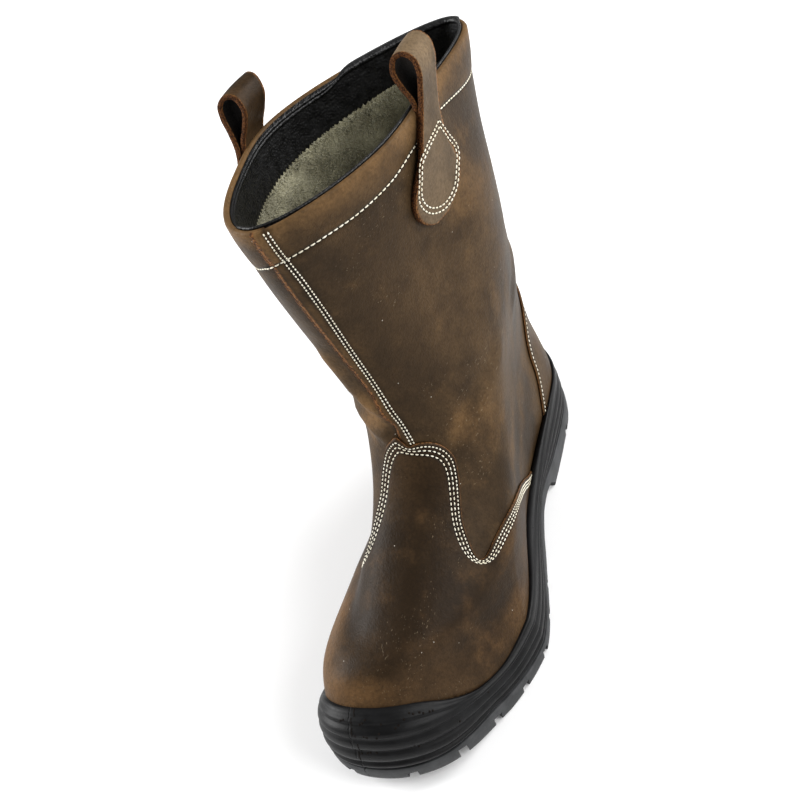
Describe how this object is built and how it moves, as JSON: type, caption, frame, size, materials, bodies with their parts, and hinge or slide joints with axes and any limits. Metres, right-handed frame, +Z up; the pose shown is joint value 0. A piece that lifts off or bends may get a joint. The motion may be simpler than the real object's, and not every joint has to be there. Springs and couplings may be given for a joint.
{
  "type": "pull-on safety boot",
  "caption": "Left pull-on work boot: tall hollow brown leather shaft with side pull loops, overlaid vamp and heel counter, black cup midsole with ribbed toe bumper, lugged outsole.",
  "frame": {"origin": "middle of the boot's footprint on the floor", "axes": "+X from heel to toe, +Y to the outer side of the left foot, +Z up the shaft"},
  "size_m": [0.3014, 0.119, 0.3104],
  "materials": {
    "outsole": "matte dark grey rubber",
    "midsole": "satin black foamed polyurethane",
    "upper": "oiled brown pull-up leather, satin",
    "vamp": "oiled brown pull-up leather, burnished",
    "heel_counter": "oiled brown pull-up leather, satin",
    "collar_facing": "black pebbled coated leather",
    "pull_loops": "oiled brown leather with raw edges",
    "insole": "grey felt"
  },
  "bodies": {
    "root": {"outsole": "outsole", "midsole": "midsole", "upper": "upper", "vamp": "vamp", "heel_counter": "heel_counter", "collar_facing": "collar_facing", "pull_loop_lateral": "pull_loops", "pull_loop_medial": "pull_loops", "insole": "insole"}
  },
  "joints": []
}
